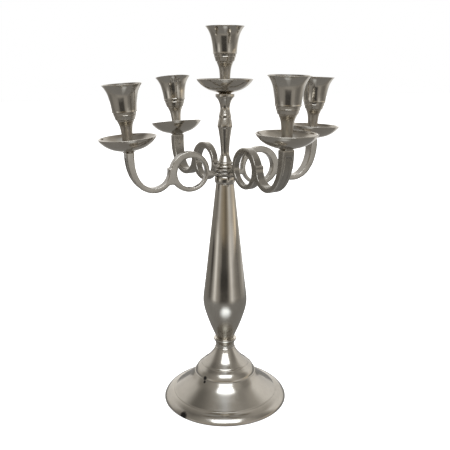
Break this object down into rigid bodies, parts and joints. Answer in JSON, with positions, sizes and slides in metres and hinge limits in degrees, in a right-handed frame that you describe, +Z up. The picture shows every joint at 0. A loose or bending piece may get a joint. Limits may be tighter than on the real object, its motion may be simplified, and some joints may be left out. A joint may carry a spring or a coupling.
{
  "type": "tabletop candelabra",
  "caption": "Metal tabletop candelabra: domed base, tapering stem, crossed scroll arms and a raised centre light, each light a flared candle cup over a drip pan.",
  "frame": {"origin": "centre of the base's bottom rim, on the stem's axis, on the table", "axes": "+Z up along the stem; +X along the lower double arm towards its right-hand light; the upper double arm crosses it at 77.5 degrees, its front light towards -Y"},
  "size_m": [0.2629, 0.2585, 0.406],
  "materials": {
    "polished_metal": "polished, warm grey, mirror-like",
    "satin_metal": "satin polish with soft highlights",
    "cast_metal": "lightly polished casting, duller in the hollows",
    "plain_steel": "plain machined steel"
  },
  "bodies": {
    "column": {"base": "satin_metal", "base_washer": "plain_steel", "base_nut": "plain_steel", "tie_rod": "plain_steel", "lower_collar": "polished_metal", "stem": "polished_metal", "upper_collar": "polished_metal", "lower_hub_washer": "plain_steel"},
    "lower_arms": {"lower_double_arm": "cast_metal", "middle_hub_washer": "plain_steel", "left_pan": "satin_metal", "right_pan": "satin_metal"},
    "upper_arms": {"upper_double_arm": "cast_metal", "front_pan": "satin_metal", "back_pan": "satin_metal"},
    "lock_washer": {"lock_washer": "plain_steel"},
    "baluster": {"baluster": "polished_metal", "top_pan": "satin_metal"},
    "top_stud": {"top_stud": "plain_steel"},
    "top_cup": {"top_cup": "polished_metal"},
    "left_stud": {"left_stud": "plain_steel"},
    "left_cup": {"left_cup": "polished_metal"},
    "right_stud": {"right_stud": "plain_steel"},
    "right_cup": {"right_cup": "polished_metal"},
    "front_stud": {"front_stud": "plain_steel"},
    "front_cup": {"front_cup": "polished_metal"},
    "back_stud": {"back_stud": "plain_steel"},
    "back_cup": {"back_cup": "polished_metal"}
  },
  "joints": [
    {"name": "lower_arms_turn", "type": "hinge", "parent": "column", "child": "lower_arms", "pos_m": [0, 0, 0.25575], "axis": [0, 0, 1], "continuous": true},
    {"name": "upper_arms_turn", "type": "hinge", "parent": "lower_arms", "child": "upper_arms", "pos_m": [0, 0, 0.25985], "axis": [0, 0, 1], "range_deg": [-62, 37]},
    {"name": "baluster_rise", "type": "slide", "parent": "column", "child": "lock_washer", "axis": [0, 0, 1], "range_m": [0, 0.012]},
    {"name": "baluster_unscrew", "type": "hinge", "parent": "lock_washer", "child": "baluster", "pos_m": [0, 0, 0.2633], "axis": [0, 0, 1], "range_deg": [0, 4320]},
    {"name": "top_cup_rise", "type": "slide", "parent": "baluster", "child": "top_stud", "axis": [0, 0, 1], "range_m": [0, 0.008]},
    {"name": "top_cup_unscrew", "type": "hinge", "parent": "top_stud", "child": "top_cup", "pos_m": [0, 0, 0.3399], "axis": [0, 0, 1], "range_deg": [0, 2880]},
    {"name": "left_cup_rise", "type": "slide", "parent": "lower_arms", "child": "left_stud", "axis": [-0.0715, 0, 0.9974], "range_m": [0, 0.008]},
    {"name": "left_cup_unscrew", "type": "hinge", "parent": "left_stud", "child": "left_cup", "pos_m": [-0.1016, 0, 0.28485], "axis": [-0.0715, 0, 0.9974], "range_deg": [0, 2880]},
    {"name": "right_cup_rise", "type": "slide", "parent": "lower_arms", "child": "right_stud", "axis": [0.0471, 0, 0.9989], "range_m": [0, 0.008]},
    {"name": "right_cup_unscrew", "type": "hinge", "parent": "right_stud", "child": "right_cup", "pos_m": [0.1016, 0, 0.29005], "axis": [0.0471, 0, 0.9989], "range_deg": [0, 2880]},
    {"name": "front_cup_rise", "type": "slide", "parent": "upper_arms", "child": "front_stud", "axis": [0.006, -0.0273, 0.9996], "range_m": [0, 0.008]},
    {"name": "front_cup_unscrew", "type": "hinge", "parent": "front_stud", "child": "front_cup", "pos_m": [0.02199, -0.09919, 0.29375], "axis": [0.006, -0.0273, 0.9996], "range_deg": [0, 2880]},
    {"name": "back_cup_rise", "type": "slide", "parent": "upper_arms", "child": "back_stud", "axis": [-0.0305, 0.1376, 0.99], "range_m": [0, 0.008]},
    {"name": "back_cup_unscrew", "type": "hinge", "parent": "back_stud", "child": "back_cup", "pos_m": [-0.02199, 0.09919, 0.28935], "axis": [-0.0305, 0.1376, 0.99], "range_deg": [0, 2880]}
  ],
  "couplings": [
    {"joint": "baluster_rise", "follows": "baluster_unscrew", "m_per_rad": 0.00015915},
    {"joint": "top_cup_rise", "follows": "top_cup_unscrew", "m_per_rad": 0.00015915},
    {"joint": "left_cup_rise", "follows": "left_cup_unscrew", "m_per_rad": 0.00015915},
    {"joint": "right_cup_rise", "follows": "right_cup_unscrew", "m_per_rad": 0.00015915},
    {"joint": "front_cup_rise", "follows": "front_cup_unscrew", "m_per_rad": 0.00015915},
    {"joint": "back_cup_rise", "follows": "back_cup_unscrew", "m_per_rad": 0.00015915}
  ]
}
